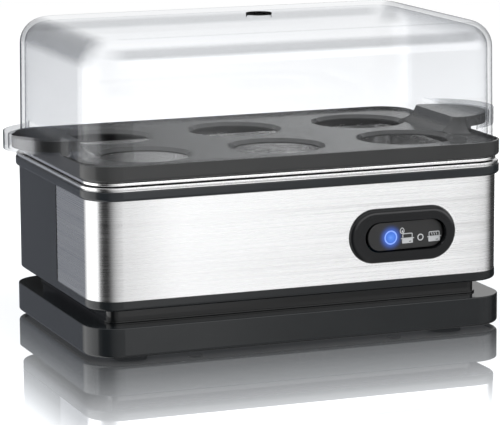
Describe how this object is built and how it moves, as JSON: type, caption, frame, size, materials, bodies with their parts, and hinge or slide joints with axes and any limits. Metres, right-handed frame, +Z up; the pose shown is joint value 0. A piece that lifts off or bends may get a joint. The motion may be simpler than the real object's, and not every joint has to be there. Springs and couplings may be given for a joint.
{
  "type": "egg cooker",
  "caption": "Boxy electric egg cooker with a clear lift-off lid, a lift-out egg tray, a brushed steel front and a rocker switch.",
  "frame": {"origin": "on the ground, under the middle of the body", "axes": "+Z up, the steel front with the switch faces -Y, the handles stick out along +X and -X"},
  "size_m": [0.218, 0.116, 0.1283],
  "materials": {
    "charcoal_plastic": "glossy moulded plastic, charcoal black",
    "black_plastic": "matt moulded plastic",
    "rubber": "matt black rubber or silicone",
    "zinc_steel": "zinc-plated steel",
    "brushed_steel": "horizontally brushed stainless steel",
    "chrome": "bright polished trim",
    "bowl_steel": "satin stainless steel",
    "aluminium": "cast aluminium",
    "element_steel": "heat-darkened steel tube",
    "ceramic": "cream ceramic",
    "switch_black": "glossy black plastic",
    "rocker_black": "satin black plastic",
    "blue_lens": "lit blue lens",
    "brass": "bare brass",
    "board_green": "green circuit board",
    "resistor_tan": "coated resistor",
    "clear_plastic": "clear polished plastic"
  },
  "bodies": {
    "base": {"base_plinth": "charcoal_plastic", "bottom_cover": "black_plastic", "rubber_feet": "rubber", "cover_screws": "zinc_steel", "cord_wrap_neck": "charcoal_plastic", "main_housing": "charcoal_plastic", "body_screws": "zinc_steel", "steel_band": "brushed_steel", "top_collar": "charcoal_plastic", "collar_trim": "chrome", "bowl_gasket": "rubber", "water_bowl": "bowl_steel", "heater_plate": "aluminium", "heating_element": "element_steel", "heater_pins": "zinc_steel", "retaining_bar": "zinc_steel", "clamp_studs": "zinc_steel", "clamp_nuts": "zinc_steel", "bar_screws": "zinc_steel", "thermostat": "black_plastic", "thermal_fuse": "ceramic", "fuse_clip": "zinc_steel", "switch_bezel": "switch_black", "rocker_pin": "zinc_steel", "switch_body": "black_plastic", "switch_terminals": "brass", "indicator_board": "board_green", "indicator_led": "blue_lens", "dropper_resistor": "resistor_tan", "terminal_block": "ceramic", "terminal_screws": "brass", "cord_bushing": "rubber"},
    "rocker": {"rocker": "rocker_black", "indicator_lens": "blue_lens"},
    "tray": {"egg_tray": "charcoal_plastic"},
    "lid": {"lid": "clear_plastic"}
  },
  "joints": [
    {"name": "rocker_tilt", "type": "hinge", "parent": "base", "child": "rocker", "pos_m": [0.0444, -0.05048, 0.0425], "axis": [0, 0, -1], "range_deg": [0, 8]},
    {"name": "tray_lift", "type": "slide", "parent": "base", "child": "tray", "axis": [0, 0, 1], "range_m": [0, 0.05]},
    {"name": "lid_lift", "type": "slide", "parent": "tray", "child": "lid", "axis": [0, 0, 1], "range_m": [0, 0.07]}
  ]
}
